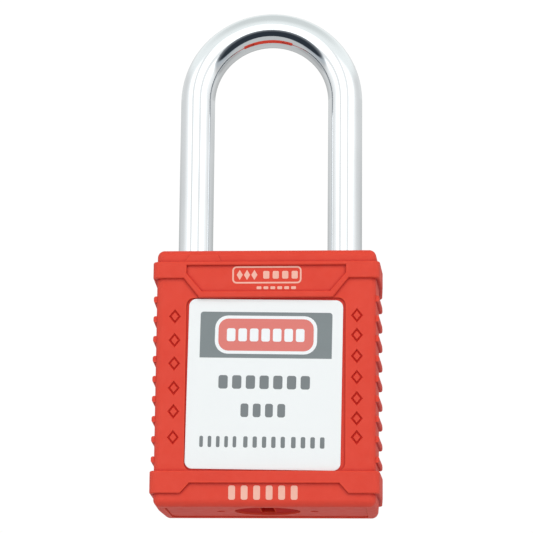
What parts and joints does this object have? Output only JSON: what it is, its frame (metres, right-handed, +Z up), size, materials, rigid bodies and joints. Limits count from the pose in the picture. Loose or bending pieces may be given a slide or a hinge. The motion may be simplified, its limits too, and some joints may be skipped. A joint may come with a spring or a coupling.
{
  "type": "safety padlock",
  "caption": "Safety lockout padlock: ribbed nylon body with a blank-form label, long chromed shackle that lifts, ball-locking core and a pin-tumbler cylinder opened from below.",
  "frame": {"origin": "middle of the bottom face, on the axis of the key cylinder", "axes": "+Z up along the shackle legs, front label faces -Y, heel leg at -X and toe leg at +X"},
  "size_m": [0.0392, 0.02, 0.0887],
  "materials": {
    "red_nylon": "fine satin moulded nylon",
    "red_cap": "satin moulded nylon",
    "die_cast_core": "as-cast satin",
    "zinc_steel": "zinc plated",
    "steel": "hardened and ground",
    "spring_steel": "drawn wire",
    "nickel_silver": "turned",
    "brass": "machined",
    "label": "laminated vinyl",
    "chrome_steel": "bright chrome plate"
  },
  "bodies": {
    "lock_body": {"body_shell": "red_nylon", "bottom_cover": "red_nylon", "core_block": "die_cast_core", "retaining_screw": "zinc_steel", "heel_retaining_pin": "steel", "shackle_spring": "spring_steel", "cylinder_housing": "brass", "spring_cap": "brass", "front_label": "label", "back_label": "label", "pin_spring_1": "spring_steel", "pin_spring_2": "spring_steel", "pin_spring_3": "spring_steel", "pin_spring_4": "spring_steel", "pin_spring_5": "spring_steel", "pin_spring_6": "spring_steel"},
    "shackle": {"shackle": "chrome_steel"},
    "plug": {"plug": "brass", "plug_cap": "red_cap", "plug_clip": "spring_steel", "cam": "steel"},
    "heel_ball": {"heel_ball": "steel"},
    "toe_ball": {"toe_ball": "steel"},
    "driver_pin_1": {"driver_pin_1": "nickel_silver"},
    "driver_pin_2": {"driver_pin_2": "nickel_silver"},
    "driver_pin_3": {"driver_pin_3": "nickel_silver"},
    "driver_pin_4": {"driver_pin_4": "nickel_silver"},
    "driver_pin_5": {"driver_pin_5": "nickel_silver"},
    "driver_pin_6": {"driver_pin_6": "nickel_silver"},
    "key_pin_1": {"key_pin_1": "brass"},
    "key_pin_2": {"key_pin_2": "brass"},
    "key_pin_3": {"key_pin_3": "brass"},
    "key_pin_4": {"key_pin_4": "brass"},
    "key_pin_5": {"key_pin_5": "brass"},
    "key_pin_6": {"key_pin_6": "brass"}
  },
  "joints": [
    {"name": "shackle_lift", "type": "slide", "parent": "lock_body", "child": "shackle", "axis": [0, 0, 1], "range_m": [0, 0.014], "stiffness_N_per_m": 12, "springref_m": 0.014, "deforming": ["shackle_spring"]},
    {"name": "plug_turn", "type": "hinge", "parent": "lock_body", "child": "plug", "pos_m": [0, 0, 0.015], "axis": [0, 0, -1], "range_deg": [0, 90]},
    {"name": "heel_ball_slide", "type": "slide", "parent": "lock_body", "child": "heel_ball", "axis": [-1, 0, 0], "range_m": [0, 0.0013]},
    {"name": "toe_ball_slide", "type": "slide", "parent": "lock_body", "child": "toe_ball", "axis": [1, 0, 0], "range_m": [0, 0.0013]},
    {"name": "driver_1_slide", "type": "slide", "parent": "lock_body", "child": "driver_pin_1", "axis": [1, 0, 0], "range_m": [0, 0.0008], "stiffness_N_per_m": 100, "springref_m": -0.001, "deforming": ["pin_spring_1"]},
    {"name": "driver_2_slide", "type": "slide", "parent": "lock_body", "child": "driver_pin_2", "axis": [1, 0, 0], "range_m": [0, 0.0008], "stiffness_N_per_m": 100, "springref_m": -0.001, "deforming": ["pin_spring_2"]},
    {"name": "driver_3_slide", "type": "slide", "parent": "lock_body", "child": "driver_pin_3", "axis": [1, 0, 0], "range_m": [0, 0.0008], "stiffness_N_per_m": 100, "springref_m": -0.001, "deforming": ["pin_spring_3"]},
    {"name": "driver_4_slide", "type": "slide", "parent": "lock_body", "child": "driver_pin_4", "axis": [1, 0, 0], "range_m": [0, 0.0008], "stiffness_N_per_m": 100, "springref_m": -0.001, "deforming": ["pin_spring_4"]},
    {"name": "driver_5_slide", "type": "slide", "parent": "lock_body", "child": "driver_pin_5", "axis": [1, 0, 0], "range_m": [0, 0.0008], "stiffness_N_per_m": 100, "springref_m": -0.001, "deforming": ["pin_spring_5"]},
    {"name": "driver_6_slide", "type": "slide", "parent": "lock_body", "child": "driver_pin_6", "axis": [1, 0, 0], "range_m": [0, 0.0008], "stiffness_N_per_m": 100, "springref_m": -0.001, "deforming": ["pin_spring_6"]},
    {"name": "key_pin_1_slide", "type": "slide", "parent": "plug", "child": "key_pin_1", "axis": [0, -1, 0], "range_m": [0, 0.0014]},
    {"name": "key_pin_2_slide", "type": "slide", "parent": "plug", "child": "key_pin_2", "axis": [0, -1, 0], "range_m": [0, 0.001]},
    {"name": "key_pin_3_slide", "type": "slide", "parent": "plug", "child": "key_pin_3", "axis": [0, -1, 0], "range_m": [0, 0.0017]},
    {"name": "key_pin_4_slide", "type": "slide", "parent": "plug", "child": "key_pin_4", "axis": [0, -1, 0], "range_m": [0, 0.0012]},
    {"name": "key_pin_5_slide", "type": "slide", "parent": "plug", "child": "key_pin_5", "axis": [0, -1, 0], "range_m": [0, 0.0016]},
    {"name": "key_pin_6_slide", "type": "slide", "parent": "plug", "child": "key_pin_6", "axis": [0, -1, 0], "range_m": [0, 0.0011]}
  ],
  "couplings": [
    {"joint": "heel_ball_slide", "follows": "plug_turn", "m_per_rad": 0.0008276},
    {"joint": "toe_ball_slide", "follows": "plug_turn", "m_per_rad": 0.0008276}
  ]
}
